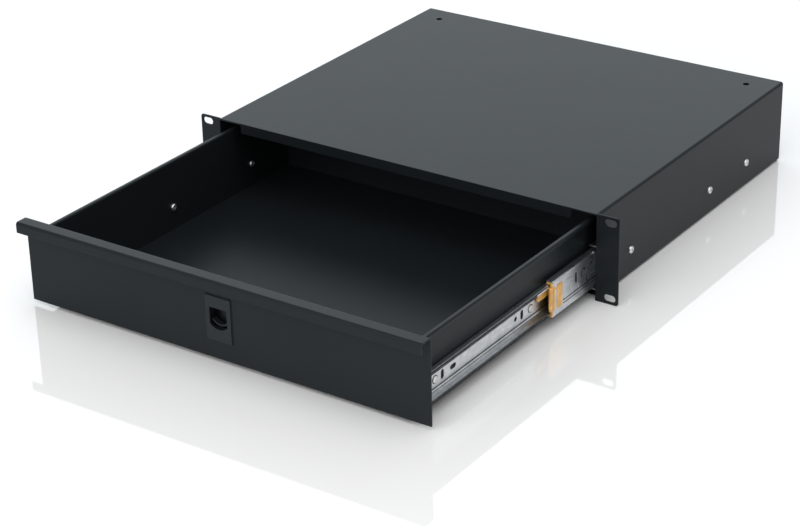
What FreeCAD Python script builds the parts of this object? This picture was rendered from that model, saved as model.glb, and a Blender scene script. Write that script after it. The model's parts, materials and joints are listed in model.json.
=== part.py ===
import FreeCAD, Part
import math
import os
import Sketcher

# Sliding rack drawer, 2U, on full-extension ball-bearing slides.
# Frame: +X to the right seen from the front, +Y to the back, +Z up.
# Origin: middle of the four rack slots, on the front face of the ears.
# The drawer stands part way open: its slides' last stage is out at its stop.

doc = FreeCAD.newDocument("sliding_rack_drawer")
sheet = doc.addObject("Spreadsheet::Sheet", "Dims")


class Size:
    """A length with its value and the sheet expression that gives it."""

    def __init__(self, value, text):
        self.value = value
        self.text = text

    def __add__(self, other):
        other = as_size(other)
        return Size(self.value + other.value, f"({self.text} + {other.text})")

    def __sub__(self, other):
        other = as_size(other)
        return Size(self.value - other.value, f"({self.text} - {other.text})")

    def __mul__(self, other):
        other = as_size(other)
        return Size(self.value * other.value, f"({self.text} * {other.text})")

    def __truediv__(self, other):
        other = as_size(other)
        return Size(self.value / other.value, f"({self.text} / {other.text})")

    def __neg__(self):
        return Size(-self.value, f"(-1 * {self.text})")

    __radd__ = __add__
    __rmul__ = __mul__


def as_size(number):
    return number if isinstance(number, Size) else Size(float(number), f"({float(number)})")


def root(size):
    return Size(math.sqrt(size.value), f"sqrt({size.text})")


def dim(name, value, note):
    """Adds one driving dimension to the sheet."""
    row = dim.rows = getattr(dim, "rows", 0) + 1
    sheet.set(f"A{row}", name)
    sheet.set(f"B{row}", str(value))
    sheet.set(f"C{row}", note)
    sheet.setAlias(f"B{row}", name)
    return Size(float(value), f"Dims.{name}")


# ---- rack pattern and chassis sheet metal
ear_height = dim("ear_height", 88.1, "2U panel height")
ear_reach = dim("ear_reach", 22.3, "an ear beyond its side; 482.6 over both")
slot_inset = dim("slot_inset", 8.75, "slot centre from the ear's outer edge; 465.1 between")
slot_margin = dim("slot_margin", 5.95, "slot centre from the ear's top or foot; 76.2 between")
slot_length = dim("slot_length", 12.0, "ear slot end to end")
slot_width = dim("slot_width", 7.0, "ear slot height")
ear_corner = dim("ear_corner", 2.5, "outer corner radius of an ear")
chassis_width = dim("chassis_width", 438.0, "outside of the two sides")
ear_overhang = dim("ear_overhang", 0.45, "an ear above the top and below the bottom")
chassis_sheet = dim("chassis_sheet", 1.6, "steel sheet")
bend = dim("bend", 1.2, "inside radius of sheet bends")
bottom_return = dim("bottom_return", 14.0, "width of the turned-in bottom edges")
bottom_relief = dim("bottom_relief", 9.0, "where they start, behind the ear front")
strip_inset = dim("strip_inset", 28.0, "turned-down front edge of the top, from each side")
strip_drop = dim("strip_drop", 10.5, "height of that edge")
roof_hole = dim("roof_hole", 6.5, "holes near the back of the top")
roof_hole_inset = dim("roof_hole_inset", 30.0, "from the side; 378 between")
roof_hole_back = dim("roof_hole_back", 25.0, "from the back edge")
rear_room = dim("rear_room", 28.5, "cabinet rail end to the chassis back")
rear_flange = dim("rear_flange", 12.0, "side flanges of the rear panel")
rear_fit = dim("rear_fit", 0.1, "rear panel to shell, each side")

# ---- slides
slide_width = dim("slide_width", 12.7, "side space a slide takes")
slide_length = dim("slide_length", 350.0, "cabinet and drawer rails")
slide_front = dim("slide_front", 4.5, "cabinet rail behind the ear front")
slide_rise = dim("slide_rise", 7.6, "cabinet rail above the chassis underside")
rail_sheet = dim("rail_sheet", 1.2, "rolled rail steel")
rail_height = dim("rail_height", 45.0, "cabinet rail")
rail_bend = dim("rail_bend", 1.5, "outside bends of the rails")
web_gap = dim("web_gap", 1.2, "between the cabinet and intermediate webs")
ball = dim("ball", 3.0, "ball diameter")
race_gap = dim("race_gap", 0.1, "ball to race")
race_depth = dim("race_depth", 0.3, "groove rolled for the balls")
ball_line = dim("ball_line", 6.5, "balls from the chassis side")
flange_past = dim("flange_past", 3.0, "rail flanges past the ball line")
inner_tip = dim("inner_tip", 5.0, "drawer rail flanges from the chassis side")
middle_front = dim("middle_front", 5.0, "intermediate rail front, slide shut")
cage_sheet = dim("cage_sheet", 0.5, "ball cage strip")
cage_past = dim("cage_past", 2.3, "cage past the ball line")
outer_cage_length = dim("outer_cage_length", 180.0, "outer ball cage")
outer_cage_front = dim("outer_cage_front", 84.0, "its front end, slide shut")
inner_cage_length = dim("inner_cage_length", 130.0, "inner ball cage")
inner_cage_back = dim("inner_cage_back", 113.0, "behind the intermediate front, shut")
cage_margin = dim("cage_margin", 12.0, "last ball to the cage's end")
bumper_depth = dim("bumper_depth", 11.0, "plastic bumper in the intermediate front")
bumper_lip = dim("bumper_lip", 1.5, "bumper's lip over the rail end")
bumper_gap = dim("bumper_gap", 0.4, "bumper to the drawer rail")
bumper_tab = dim("bumper_tab", 0.7, "thickness of its snap tab outside the web")
bumper_tab_length = dim("bumper_tab_length", 18.0, "snap tab along the web")
bumper_tab_height = dim("bumper_tab_height", 24.0, "snap tab up and down")
stop_depth = dim("stop_depth", 6.0, "rubber stop at the cabinet rail back")
stop_gap = dim("stop_gap", 0.5, "stop to the shut intermediate rail")
stop_inset = dim("stop_inset", 3.0, "cabinet rail beyond the stop")
slot_tall = dim("slot_tall", 9.0, "fixing slots of the rails, long side")
slot_thin = dim("slot_thin", 4.6, "fixing slots of the rails, short side")
rivet_hole = dim("rivet_hole", 4.5, "round hole by the second slot of a drawer rail")

# ---- drawer
drawer_out = dim("drawer_out", 278.0, "how far the drawer stands open")
middle_out = dim("middle_out", 77.0, "how far the intermediate rails stand out")
front_gap = dim("front_gap", 0.5, "shut front panel to the ears")
panel_past = dim("panel_past", 3.0, "drawer front past each chassis side")
panel_inset = dim("panel_inset", 0.15, "its top below the ear tops")
panel_foot = dim("panel_foot", 3.95, "its foot above the ear feet")
panel_sheet = dim("panel_sheet", 1.5, "steel sheet")
lip_reach = dim("lip_reach", 13.5, "pull lip ahead of the face")
lip_drop = dim("lip_drop", 10.5, "turned-down end of the pull lip")
tray_past = dim("tray_past", 18.0, "tray behind the drawer rails")
tray_sheet = dim("tray_sheet", 1.2, "steel sheet")
tray_clearance = dim("tray_clearance", 5.4, "tray floor above the chassis underside")
tray_headroom = dim("tray_headroom", 9.2, "wall tops below the chassis top")
hem_width = dim("hem_width", 5.2, "wall tops turned outward")
hem_drop = dim("hem_drop", 4.0, "turned-down end of a hem")
tray_flange = dim("tray_flange", 12.0, "front flanges spot-welded to the panel")
rail_setback = dim("rail_setback", 3.0, "drawer rail behind the panel")

# ---- screws
screw_drop = dim("screw_drop", 3.5, "chassis screws below the slide centre")
screw_shank = dim("screw_shank", 4.0, "M4 screws")
screw_head = dim("screw_head", 7.6, "pan head")
screw_rise = dim("screw_rise", 2.4, "pan head height")
screw_fit = dim("screw_fit", 0.15, "screw to its hole, radius")
nut_head = dim("nut_head", 6.8, "set ends inside the drawer rails")
nut_rise = dim("nut_rise", 1.1, "height of those ends")

# ---- latch
bezel_width = dim("bezel_width", 28.0, "latch bezel")
bezel_height = dim("bezel_height", 43.5, "latch bezel")
bezel_rise = dim("bezel_rise", 1.2, "bezel proud of the face")
bezel_corner = dim("bezel_corner", 1.5, "bezel corner radius")
bezel_lap = dim("bezel_lap", 1.6, "bezel over the panel's edge")
cutout_fit = dim("cutout_fit", 0.2, "latch body to the panel cut-out")
latch_wall = dim("latch_wall", 1.5, "moulded wall")
latch_depth = dim("latch_depth", 12.5, "latch body behind the panel")
latch_cover_sheet = dim("latch_cover_sheet", 1.2, "cover on the latch's back")
window_width = dim("window_width", 19.0, "finger window")
window_height = dim("window_height", 20.5, "finger window")
window_arch = dim("window_arch", 14.0, "radius of the window's curved foot")
slider_width = dim("slider_width", 20.0, "latch slider")
slider_sheet = dim("slider_sheet", 2.0, "its back plate")
slider_back = dim("slider_back", 8.5, "back of that plate behind the panel")
slider_foot = dim("slider_foot", 12.0, "slider below the latch centre")
slider_shelf = dim("slider_shelf", 3.0, "thickness of the finger shelf")
slider_play = dim("slider_play", 0.4, "slider to the latch body")
slider_travel = dim("slider_travel", 5.0, "pull that frees the bolt")
bolt_width = dim("bolt_width", 14.0, "latch bolt")
bolt_hold = dim("bolt_hold", 4.0, "bolt behind the chassis strip")
bolt_gap = dim("bolt_gap", 0.6, "bolt to that strip, drawer shut")
spring_diameter = dim("spring_diameter", 3.2, "latch spring, outside")
spring_wire = dim("spring_wire", 0.5, "latch spring wire")
spring_turns = dim("spring_turns", 6.0, "turns of the latch spring")
spring_tab = dim("spring_tab", 4.0, "slider tab above the latch centre")
snap_rise = dim("snap_rise", 1.0, "snap lugs outside the latch body")
snap_length = dim("snap_length", 12.0, "height of a snap lug")
cover_screw = dim("cover_screw", 2.2, "latch cover screws")
cover_head = dim("cover_head", 4.0, "their heads")
cover_boss = dim("cover_boss", 4.6, "square bosses for those screws")

# ---- release levers in the drawer rails
lever_sheet = dim("lever_sheet", 2.0, "lever thickness")
lever_line = dim("lever_line", 9.6, "lever middle from the chassis side")
lever_place = dim("lever_place", 209.0, "pivot behind the rail's front end")
lever_rise = dim("lever_rise", 6.0, "pivot above the slide centre")
lever_front = dim("lever_front", 21.5, "pivot to the thumb end")
lever_tail = dim("lever_tail", 22.0, "pivot to the tail")
lever_height = dim("lever_height", 6.6, "thumb end")
lever_tail_height = dim("lever_tail_height", 3.4, "tail")
pivot_pin = dim("pivot_pin", 2.8, "lever pivot")
pivot_play = dim("pivot_play", 0.08, "pivot to lever, radius")
pivot_head = dim("pivot_head", 4.8, "pivot head")
pivot_head_rise = dim("pivot_head_rise", 0.8, "pivot head height")

# ---- sizes that follow
ear_span = chassis_width + 2 * ear_reach
slot_pitch_x = ear_span - 2 * slot_inset
slot_pitch_z = ear_height - 2 * slot_margin
shell_top = ear_height / 2 - ear_overhang
chassis_depth = slide_front + slide_length + rear_room
slide_level = slide_rise + rail_height / 2 - shell_top
stop_place = slide_front + slide_length - stop_inset - stop_depth
middle_length = stop_place - stop_gap - middle_front
strip_half = chassis_width / 2 - strip_inset
roof_hole_x = chassis_width / 2 - roof_hole_inset
panel_half = chassis_width / 2 + panel_past
panel_top = ear_height / 2 - panel_inset
panel_bottom = panel_foot - ear_height / 2
tray_depth = rail_setback + slide_length + tray_past
tray_bottom = tray_clearance - shell_top
tray_top = shell_top - tray_headroom
side_inner = chassis_width / 2 - chassis_sheet
tray_half = side_inner - slide_width
ball_room = ball / 2 + race_gap
cabinet_half = rail_height / 2
outer_ball_level = cabinet_half - rail_sheet - ball_room
middle_half = outer_ball_level - ball_room
inner_ball_level = middle_half - rail_sheet - ball_room
drawer_rail_groove = inner_ball_level - ball_room
drawer_rail_half = drawer_rail_groove + race_depth
groove_half = root(2 * ball_room * race_depth - race_depth * race_depth)
middle_web = rail_sheet + web_gap
panel_back = -drawer_out - front_gap
drawer_rail_front = panel_back + rail_setback
middle_rest = middle_front - middle_out
outer_cage_rest = outer_cage_front - middle_out / 2
inner_cage_rest = middle_rest + inner_cage_back - (drawer_out - middle_out) / 2
latch_half_width = bezel_width / 2 - bezel_lap
latch_half_height = bezel_height / 2 - bezel_lap
strip_foot = shell_top - strip_drop
bolt_top = strip_foot + bolt_hold
bolt_front = front_gap + chassis_sheet + bolt_gap

SPRING_STEPS = 6

# Fixing places along the rails, from each rail's front end; slots with their rise above the slide centre.
CABINET_SCREWS = [58.5, 218.5, 298.5]
DRAWER_SCREWS = [25.5, 179.5, 305.5]
MIDDLE_SLOTS = [(41.0, 6.0), (170.0, 0.0)]
UPRIGHT_SLOTS = [(37.0, 0.0), (165.0, 0.0)]
LYING_SLOT = (53.5, 0.0)
RIVET_HOLE = 154.5


def new_body(name):
    body = doc.addObject("PartDesign::Body", name)
    body.Label = name
    return body


def place(item, **offsets):
    """Ties a sub-part's position to the sheet."""
    for axis, size in offsets.items():
        item.setExpression(f"Placement.Base.{axis}", as_size(size).text)


def new_sketch(body, plane, offset=None):
    sketch = body.newObject("Sketcher::SketchObject", f"{body.Name}_sketch")
    support = next(f for f in body.Origin.OriginFeatures if f.Role == plane)
    sketch.AttachmentSupport = [(support, "")]
    sketch.MapMode = "FlatFace"
    if offset is not None:
        sketch.AttachmentOffset = FreeCAD.Placement(FreeCAD.Vector(0, 0, offset.value), FreeCAD.Rotation())
        sketch.setExpression("AttachmentOffset.Base.z", offset.text)
    return sketch


def tie(sketch, kind, geometry, point, size):
    """Ties one coordinate of a sketch point, measured from the sketch's origin."""
    index = sketch.addConstraint(Sketcher.Constraint(kind, -1, 1, geometry, point, size.value))
    sketch.setExpression(f"Constraints[{index}]", size.text)


def arc_between(start, end, radius):
    """The short arc between two points; a positive radius bulges to the right of the way there."""
    chord = end - start
    half = min(chord.Length / 2, abs(radius))
    left = FreeCAD.Vector(-chord.y, chord.x, 0).normalize()
    depth = math.copysign(math.sqrt(radius * radius - half * half), radius)
    centre = (start + end) * 0.5 + left * depth
    spokes = [start - centre, end - centre] if radius > 0 else [end - centre, start - centre]
    first, last = (math.atan2(spoke.y, spoke.x) for spoke in spokes)
    last += 2 * math.pi if last < first else 0
    return Part.ArcOfCircle(Part.Circle(centre, FreeCAD.Vector(0, 0, 1), abs(radius)), first, last)


def outline(sketch, points):
    """One closed outline. A point is (x, y), or (x, y, radius) where an arc leaves it.

    A half circle is held by its centre, which is level with both its ends.
    """
    points = [tuple(as_size(part) for part in point) for point in points]
    corners = [FreeCAD.Vector(point[0].value, point[1].value, 0) for point in points]
    first = sketch.GeometryCount
    count = len(points)
    for i, point in enumerate(points):
        start = corners[i]
        end = corners[(i + 1) % count]
        curve = Part.LineSegment(start, end) if len(point) == 2 else arc_between(start, end, point[2].value)
        sketch.addGeometry(curve, False)
    starts = [2 if len(point) == 3 and point[2].value < 0 else 1 for point in points]
    for i in range(count):
        following = (i + 1) % count
        leave, arrive = 3 - starts[i], starts[following]
        sketch.addConstraint(Sketcher.Constraint("Coincident", first + i, leave, first + following, arrive))
    for i, point in enumerate(points):
        tie(sketch, "DistanceX", first + i, starts[i], point[0])
        tie(sketch, "DistanceY", first + i, starts[i], point[1])
        if len(point) < 3:
            continue
        start, end = corners[i], corners[(i + 1) % count]
        if start.distanceToPoint(end) > 1.999 * abs(point[2].value):
            flat = abs(start.y - end.y) < 1e-6
            tie(sketch, "DistanceY" if flat else "DistanceX", first + i, 3, point[1] if flat else point[0])
        else:
            size = point[2] if point[2].value > 0 else -point[2]
            index = sketch.addConstraint(Sketcher.Constraint("Radius", first + i, size.value))
            sketch.setExpression(f"Constraints[{index}]", size.text)


def rectangle(sketch, x_low, x_high, y_low, y_high):
    outline(sketch, [(x_low, y_low), (x_high, y_low), (x_high, y_high), (x_low, y_high)])


def obround(sketch, x, y, length, width):
    """A slot lying along the sketch's X axis, or along Y where length is given as the short side."""
    lying = as_size(length).value >= as_size(width).value
    radius = (width if lying else length) / 2
    if lying:
        reach = length / 2 - radius
        outline(sketch, [(x - reach, y - radius), (x + reach, y - radius, radius),
                         (x + reach, y + radius), (x - reach, y + radius, radius)])
        return
    reach = width / 2 - radius
    outline(sketch, [(x - radius, y - reach, radius), (x + radius, y - reach),
                     (x + radius, y + reach, radius), (x - radius, y + reach)])


def circle(sketch, x, y, diameter):
    x, y, diameter = as_size(x), as_size(y), as_size(diameter)
    centre = FreeCAD.Vector(x.value, y.value, 0)
    index = sketch.addGeometry(Part.Circle(centre, FreeCAD.Vector(0, 0, 1), diameter.value / 2), False)
    tie(sketch, "DistanceX", index, 3, x)
    tie(sketch, "DistanceY", index, 3, y)
    size = sketch.addConstraint(Sketcher.Constraint("Diameter", index, diameter.value))
    sketch.setExpression(f"Constraints[{size}]", diameter.text)


def pad(body, sketch, length, reverse=False, midplane=False):
    feature = body.newObject("PartDesign::Pad", f"{body.Name}_pad")
    feature.Profile = sketch
    length = as_size(length)
    feature.Length = length.value
    feature.setExpression("Length", length.text)
    feature.Reversed = reverse
    feature.Midplane = midplane
    doc.recompute()
    return feature


def pocket(body, sketch, length, reverse=False, midplane=False):
    """Cuts a sketch into the body and checks that material went."""
    before = body.Shape.Volume
    feature = body.newObject("PartDesign::Pocket", f"{body.Name}_pocket")
    feature.Profile = sketch
    length = as_size(length)
    feature.Length = length.value
    feature.setExpression("Length", length.text)
    feature.Reversed = reverse
    feature.Midplane = midplane
    doc.recompute()
    if body.Shape.Volume > before - 1e-6:
        raise RuntimeError(f"{feature.Name} cuts nothing")
    return feature


def mirror(body, features, plane):
    feature = body.newObject("PartDesign::Mirrored", f"{body.Name}_mirror")
    feature.Originals = features
    feature.MirrorPlane = (next(f for f in body.Origin.OriginFeatures if f.Role == plane), [""])
    body.Tip = feature
    doc.recompute()
    return feature


def fillet(body, corners, plane, radius):
    """Rounds the straight edges that stand on the given plane at the given corners."""
    first, second = {"XZ": ("x", "z"), "YZ": ("y", "z"), "XY": ("x", "y")}[plane]
    along = ({"x", "y", "z"} - {first, second}).pop()
    names = []
    for number, edge in enumerate(body.Tip.Shape.Edges, 1):
        start, end = edge.Vertexes[0].Point, edge.Vertexes[-1].Point
        run = end - start
        if abs(getattr(run, along)) < run.Length * 0.999 or run.Length < 1e-6:
            continue
        for corner in corners:
            a, b = as_size(corner[0]).value, as_size(corner[1]).value
            if abs(getattr(start, first) - a) < 1e-3 and abs(getattr(start, second) - b) < 1e-3:
                names.append(f"Edge{number}")
    if not names:
        raise RuntimeError(f"{body.Name} has no edge to round")
    base = body.Tip
    feature = body.newObject("PartDesign::Fillet", f"{body.Name}_fillet")
    feature.Base = (base, names)
    radius = as_size(radius)
    feature.Radius = radius.value
    feature.setExpression("Radius", radius.text)
    body.Tip = feature
    doc.recompute()
    return feature


def group(name, solids):
    """Like pieces in one node, each a solid of its own."""
    item = doc.addObject("Part::Feature", name)
    item.Label = name
    item.Shape = Part.makeCompound(solids)
    return item


def skin(rings):
    """A solid of flat facets that run from ring to ring; a ring is a loop of points, or one point."""
    count = max(len(ring) for ring in rings)
    faces = []
    for low, high in zip(rings, rings[1:]):
        for i in range(count):
            a, b = low[i % len(low)], low[(i + 1) % len(low)]
            c, d = high[i % len(high)], high[(i + 1) % len(high)]
            for corners in ((a, b, d), (a, d, c)):
                if len({tuple(corner) for corner in corners}) == 3:
                    faces.append(Part.Face(Part.makePolygon([*corners, corners[0]])))
    shell = Part.makeShell(faces)
    shell.sewShape()
    solid = Part.makeSolid(shell)
    if solid.Volume < 0:
        solid.reverse()
    return solid.removeSplitter()


def turned(profile, at, axis, sides=8):
    """A small turned piece: profile is (distance along the axis, radius), with both ends on the axis."""
    turn = FreeCAD.Rotation(FreeCAD.Vector(1, 0, 0), axis)
    spin = FreeCAD.Placement(FreeCAD.Vector(*at), turn)
    rings = []
    for along, radius in profile:
        angles = [2 * math.pi * (i + 0.5) / sides for i in range(sides)] if radius else [0]
        points = [FreeCAD.Vector(along, radius * math.cos(a), radius * math.sin(a)) for a in angles]
        rings.append([spin.multVec(point) for point in points])
    return skin(rings)


# ---- chassis

def chassis_shell():
    """Top, sides, turned-in bottom edges, ears and front strip, bent from one sheet."""
    body = new_body("chassis_shell")
    half, top, wall = chassis_width / 2, shell_top, chassis_sheet
    foot = half - bottom_return
    section = new_sketch(body, "XZ_Plane")
    outline(section, [(-half, top), (half, top), (half, -top), (foot, -top), (foot, wall - top),
                      (half - wall, wall - top), (half - wall, top - wall), (wall - half, top - wall),
                      (wall - half, wall - top), (-foot, wall - top), (-foot, -top), (-half, -top)])
    pad(body, section, chassis_depth, reverse=True)
    corners = [(half, top), (-half, top), (half, -top), (-half, -top)]
    fillet(body, corners, "XZ", bend + wall)
    inside = [(half - wall, top - wall), (wall - half, top - wall),
              (half - wall, wall - top), (wall - half, wall - top)]
    fillet(body, inside, "XZ", bend)
    ear = new_sketch(body, "XZ_Plane")
    rectangle(ear, half - wall, ear_span / 2, -(ear_height / 2), ear_height / 2)
    right_ear = pad(body, ear, wall, reverse=True)
    mirror(body, [right_ear], "YZ_Plane")
    tips = [(sx * ear_span / 2, sz * ear_height / 2) for sx in (1, -1) for sz in (1, -1)]
    fillet(body, tips, "XZ", ear_corner)
    slots = new_sketch(body, "XZ_Plane")
    for sx in (1, -1):
        for sz in (1, -1):
            obround(slots, sx * slot_pitch_x / 2, sz * slot_pitch_z / 2, slot_length, slot_width)
    pocket(body, slots, 3 * wall, midplane=True)
    reliefs = new_sketch(body, "XY_Plane", wall - top)
    for sx in (1, -1):
        rectangle(reliefs, sx * (foot - wall), sx * (half - wall), -wall, bottom_relief)
    pocket(body, reliefs, 3 * wall, midplane=True)
    strip = new_sketch(body, "XZ_Plane")
    rectangle(strip, -strip_half, strip_half, strip_foot, top)
    pad(body, strip, wall, reverse=True)
    lower = [(strip_half, strip_foot), (-strip_half, strip_foot)]
    fillet(body, lower, "XZ", bend)
    holes = new_sketch(body, "XY_Plane", top)
    for sx in (1, -1):
        circle(holes, sx * roof_hole_x, chassis_depth - roof_hole_back, roof_hole)
    pocket(body, holes, 3 * wall, midplane=True)
    side = new_sketch(body, "YZ_Plane")
    for along in CABINET_SCREWS:
        circle(side, slide_front + along, slide_level - screw_drop, screw_shank + 2 * screw_fit)
    pocket(body, side, chassis_width + 2 * wall, midplane=True)
    return body


def rear_panel():
    """Flat back whose two side flanges turn forward and are spot-welded to the shell's sides."""
    body = new_body("rear_panel")
    half = side_inner - rear_fit
    deep, wall = chassis_depth, chassis_sheet
    start = deep - rear_flange
    section = new_sketch(body, "XY_Plane")
    outline(section, [(-half, start), (wall - half, start), (wall - half, deep - wall),
                      (half - wall, deep - wall), (half - wall, start), (half, start),
                      (half, deep), (-half, deep)])
    pad(body, section, 2 * (shell_top - wall - bend), midplane=True)
    fillet(body, [(half, deep), (-half, deep)], "XY", bend + wall)
    fillet(body, [(half - wall, deep - wall), (wall - half, deep - wall)], "XY", bend)
    return body


def chassis_screws():
    """Pan-head screws through the sides into the cabinet rails' webs."""
    grip = (chassis_sheet + rail_sheet).value
    shank, head, rise = screw_shank.value / 2, screw_head.value / 2, screw_rise.value
    profile = [(-grip, 0), (-grip, shank), (0, shank), (0, head), (rise * 0.6, head * 0.92),
               (rise, head * 0.55), (rise, 0)]
    solids = []
    for sx in (1, -1):
        for along in CABINET_SCREWS:
            at = (sx * chassis_width.value / 2, slide_front.value + along, (slide_level - screw_drop).value)
            solids.append(turned(profile, at, FreeCAD.Vector(sx, 0, 0)))
    return group("chassis_screws", solids)


# ---- slides: u runs from the chassis side to the drawer, w up from the slide's centre

def across(side, size):
    """X of a place u millimetres in from the chassis side."""
    return side * (side_inner - size)


def channel(body, side, half_section, length):
    """A rail section given by its upper half, mirrored below the slide's centre."""
    upper = [(across(side, point[0]), as_size(point[1])) + tuple(side * r for r in point[2:])
             for point in half_section]
    lower = []
    for i in range(len(half_section) - 1, -1, -1):
        point = half_section[i]
        radius = half_section[i - 1][2:] if i else ()
        lower.append((across(side, point[0]), -as_size(point[1])) + tuple(side * r for r in radius))
    section = new_sketch(body, "XZ_Plane")
    outline(section, upper + lower)
    pad(body, section, length, reverse=True)


def rail_slots(body, upright, lying):
    """Fixing slots through a rail's web, standing and lying."""
    slots = new_sketch(body, "YZ_Plane")
    for along, rise in upright:
        obround(slots, as_size(along), as_size(rise), slot_thin, slot_tall)
    for along, rise in lying:
        obround(slots, as_size(along), as_size(rise), slot_tall, slot_thin)
    pocket(body, slots, chassis_width, midplane=True)


def round_bends(body, side, corners, radius):
    places = [(across(side, u), sign * w) for u, w in corners for sign in (1, -1)]
    fillet(body, places, "XZ", radius)


def cabinet_rail(name, side):
    """Outer channel, web on the chassis side, a ball race in each flange."""
    body = new_body(f"{name}_cabinet_rail")
    flat = cabinet_half - rail_sheet - race_depth
    tip = ball_line + flange_past
    channel(body, side, [(0, cabinet_half), (tip, cabinet_half), (tip, flat),
                         (ball_line + groove_half, flat, -ball_room),
                         (ball_line - groove_half, flat), (rail_sheet, flat)], slide_length)
    round_bends(body, side, [(0, cabinet_half)], rail_bend)
    place(body, y=slide_front, z=slide_level)
    holes = new_sketch(body, "YZ_Plane")
    for along in CABINET_SCREWS:
        circle(holes, along, -screw_drop, screw_shank + 2 * screw_fit)
    pocket(body, holes, chassis_width, midplane=True)
    return body


def intermediate_rail(name, side):
    """Middle channel between the two rows of balls."""
    body = new_body(f"{name}_intermediate_rail")
    tip = ball_line + flange_past
    flat = middle_half - rail_sheet
    channel(body, side, [(middle_web, middle_half), (tip, middle_half), (tip, flat),
                         (middle_web + rail_sheet, flat)], middle_length)
    round_bends(body, side, [(middle_web, middle_half)], rail_bend)
    rail_slots(body, MIDDLE_SLOTS, [])
    place(body, y=middle_rest, z=slide_level)
    return body


def drawer_rail(name, side):
    """Inner channel, web on the drawer's wall, races on the outside of its flanges."""
    body = new_body(f"{name}_drawer_rail")
    half = drawer_rail_half
    flat = drawer_rail_groove - rail_sheet
    channel(body, side, [(slide_width - rail_sheet, flat), (inner_tip, flat), (inner_tip, half),
                         (ball_line - groove_half, half, -ball_room), (ball_line + groove_half, half),
                         (slide_width, half)], slide_length)
    round_bends(body, side, [(slide_width, half)], rail_bend)
    rail_slots(body, UPRIGHT_SLOTS, [LYING_SLOT])
    holes = new_sketch(body, "YZ_Plane")
    for along in DRAWER_SCREWS:
        circle(holes, along, 0, screw_shank + 2 * screw_fit)
    circle(holes, RIVET_HOLE, 0, rivet_hole)
    pocket(body, holes, chassis_width, midplane=True)
    place(body, y=drawer_rail_front, z=slide_level)
    return body


def ball_places(length):
    """Four balls along a cage, from its front end."""
    step = (length - 2 * cage_margin) / 3
    return [cage_margin + i * step for i in range(4)]


def ball_cage(name, side, stage, web, level, length, front):
    """A thin channel with a pocket for each ball."""
    body = new_body(f"{name}_{stage}_ball_cage")
    tip = ball_line + cage_past
    upper, lower = level + cage_sheet / 2, level - cage_sheet / 2
    channel(body, side, [(web, upper), (tip, upper), (tip, lower), (web + cage_sheet, lower)], length)
    pockets = new_sketch(body, "XY_Plane")
    near, far = across(side, ball_line - ball_room), across(side, ball_line + ball_room)
    for along in ball_places(length):
        rectangle(pockets, near, far, along - ball_room, along + ball_room)
    pocket(body, pockets, 2 * level + 2 * ball, midplane=True)
    place(body, y=front, z=slide_level)
    return body


def balls(name, side, stage, level, length, front):
    """The two rows of balls that one cage holds."""
    radius = ball.value / 2
    profile = [(-radius * math.cos(math.pi * i / 4), radius * math.sin(math.pi * i / 4)) for i in range(5)]
    profile[0], profile[-1] = (-radius, 0), (radius, 0)
    solids = []
    for along in ball_places(length):
        for sign in (1, -1):
            at = (across(side, ball_line).value, along.value, sign * level.value)
            solids.append(turned(profile, at, FreeCAD.Vector(0, 0, 1), sides=6))
    item = group(f"{name}_{stage}_balls", solids)
    place(item, y=front, z=slide_level)
    return item


def rail_bumper(name, side):
    """Plastic guide snapped into the intermediate rail's front end; the drawer rail runs through it."""
    body = new_body(f"{name}_rail_bumper")
    back = middle_web + rail_sheet
    tip = ball_line + flange_past
    outer = middle_half - rail_sheet
    channel(body, side, [(back, outer), (tip, outer), (tip, drawer_rail_half + bumper_gap),
                         (inner_tip - bumper_gap, drawer_rail_half + bumper_gap)], bumper_depth)
    lip = new_sketch(body, "XZ_Plane")
    inner = inner_tip - bumper_gap
    low, high = (across(side, edge) for edge in (middle_web, inner))
    rectangle(lip, low, high, -outer, outer)
    pad(body, lip, bumper_lip)
    tab = new_sketch(body, "XZ_Plane", -bumper_tab_length)
    near, far, half = across(side, middle_web - bumper_tab), across(side, middle_web), bumper_tab_height / 2
    rectangle(tab, near, far, -half, half)
    pad(body, tab, bumper_tab_length + bumper_lip)
    place(body, y=middle_rest, z=slide_level)
    return body


def rail_stop(name, side):
    """Rubber stop in the back of the cabinet rail, round the drawer rail's end."""
    body = new_body(f"{name}_rail_stop")
    level = cabinet_half - rail_sheet - race_depth
    tip = ball_line + flange_past
    clear = drawer_rail_half + bumper_gap
    channel(body, side, [(rail_sheet, level), (tip, level), (tip, clear), (inner_tip - bumper_gap, clear)],
            stop_depth)
    place(body, y=stop_place, z=slide_level)
    return body


# ---- drawer: its pieces are built from the front panel's back face and placed with it

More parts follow.
